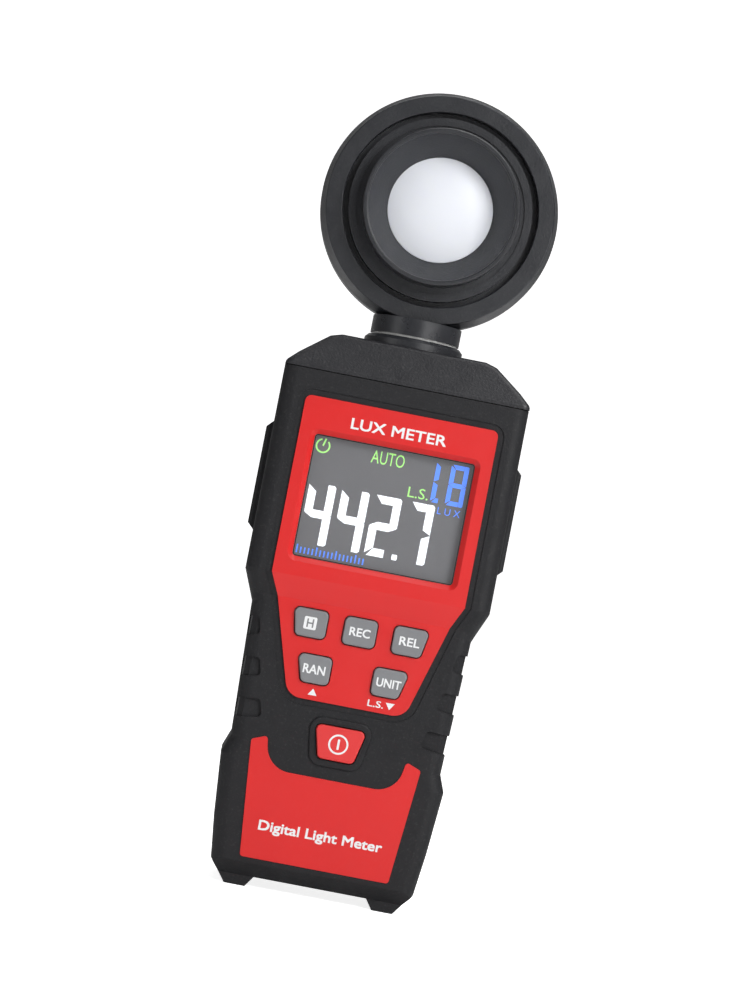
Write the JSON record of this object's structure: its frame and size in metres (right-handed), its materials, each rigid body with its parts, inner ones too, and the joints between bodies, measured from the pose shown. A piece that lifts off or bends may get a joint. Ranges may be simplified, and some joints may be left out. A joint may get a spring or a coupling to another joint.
{
  "type": "handheld light meter",
  "caption": "Handheld light meter with a round white-domed sensor head that swivels on a neck above a rubber-clad handle with a display and keys.",
  "frame": {"origin": "middle of the base, on the surface that the feet stand on", "axes": "+Z from the feet to the sensor head, -Y out of the display, +X to the right seen from the front"},
  "size_m": [0.06, 0.0336, 0.1894],
  "materials": {
    "red_shell": "semi-gloss fine-textured ABS",
    "black_rubber": "matte soft overmould",
    "black_shell": "spark-textured ABS",
    "neck_black": "satin",
    "washer_nylon": "satin",
    "head_black": "satin, fine-textured",
    "seat_black": "matte",
    "diffuser_white": "satin opal",
    "filter_green": "coated",
    "diode_case": "satin",
    "board_green": "solder mask",
    "chip_black": "moulded",
    "connector_white": "moulded",
    "lead_grey": "matte",
    "window_clear": "clear",
    "display_grey": "satin",
    "light_white": "satin",
    "frame_black": "matte",
    "key_grey": "matte silicone",
    "key_red": "matte silicone",
    "mat_grey": "matte silicone",
    "cell_jacket": "gloss sleeve",
    "steel": "zinc plated",
    "brass": "turned",
    "label_silver": "satin film"
  },
  "bodies": {
    "housing": {"front_shell": "red_shell", "rear_shell": "red_shell", "front_overmold": "black_rubber", "rear_overmold": "black_rubber", "sensor_end_cap": "black_shell", "neck_bush": "neck_black", "neck_washer": "washer_nylon", "main_board": "board_green", "board_chips": "chip_black", "lead_connector": "connector_white", "display_window": "window_clear", "display_panel": "display_grey", "display_backlight": "light_white", "display_frame": "frame_black", "keypad_mat": "mat_grey", "battery_1": "cell_jacket", "battery_2": "cell_jacket", "battery_3": "cell_jacket", "battery_springs": "steel", "battery_plates": "steel", "board_screws": "steel", "case_screws": "steel", "door_insert": "brass", "tripod_insert": "brass", "rating_label": "label_silver"},
    "sensor_head": {"neck_stem": "neck_black", "neck_circlip": "steel", "head_front_ring": "head_black", "head_rear_cover": "head_black", "head_screws": "steel", "baffle_cup": "head_black", "diffuser_dome": "diffuser_white", "diffuser_seat": "seat_black", "filter_glass": "filter_green", "photodiode": "diode_case", "sensor_board": "board_green", "sensor_lead": "lead_grey"},
    "battery_door": {"battery_door": "black_shell"},
    "door_screw": {"door_screw": "steel"},
    "key_hold": {"key_hold": "key_grey"},
    "key_record": {"key_record": "key_grey"},
    "key_relative": {"key_relative": "key_grey"},
    "key_range": {"key_range": "key_grey"},
    "key_unit": {"key_unit": "key_grey"},
    "key_power": {"key_power": "key_red"}
  },
  "joints": [
    {"name": "head_swivel", "type": "hinge", "parent": "housing", "child": "sensor_head", "pos_m": [0, 0, 0.1312], "axis": [0, 0, 1], "range_deg": [-90, 180]},
    {"name": "battery_door_lift", "type": "slide", "parent": "housing", "child": "battery_door", "axis": [0, 1, 0], "range_m": [0, 0.03]},
    {"name": "door_screw_turn", "type": "hinge", "parent": "battery_door", "child": "door_screw", "pos_m": [0, 0.0148, 0.0602], "axis": [0, 1, 0], "continuous": true},
    {"name": "key_hold_press", "type": "slide", "parent": "housing", "child": "key_hold", "axis": [0, 1, 0], "range_m": [0, 0.0008], "stiffness_N_per_m": 900},
    {"name": "key_record_press", "type": "slide", "parent": "housing", "child": "key_record", "axis": [0, 1, 0], "range_m": [0, 0.0008], "stiffness_N_per_m": 900},
    {"name": "key_relative_press", "type": "slide", "parent": "housing", "child": "key_relative", "axis": [0, 1, 0], "range_m": [0, 0.0008], "stiffness_N_per_m": 900},
    {"name": "key_range_press", "type": "slide", "parent": "housing", "child": "key_range", "axis": [0, 1, 0], "range_m": [0, 0.0008], "stiffness_N_per_m": 900},
    {"name": "key_unit_press", "type": "slide", "parent": "housing", "child": "key_unit", "axis": [0, 1, 0], "range_m": [0, 0.0008], "stiffness_N_per_m": 900},
    {"name": "key_power_press", "type": "slide", "parent": "housing", "child": "key_power", "axis": [0, 1, 0], "range_m": [0, 0.0008], "stiffness_N_per_m": 900}
  ]
}
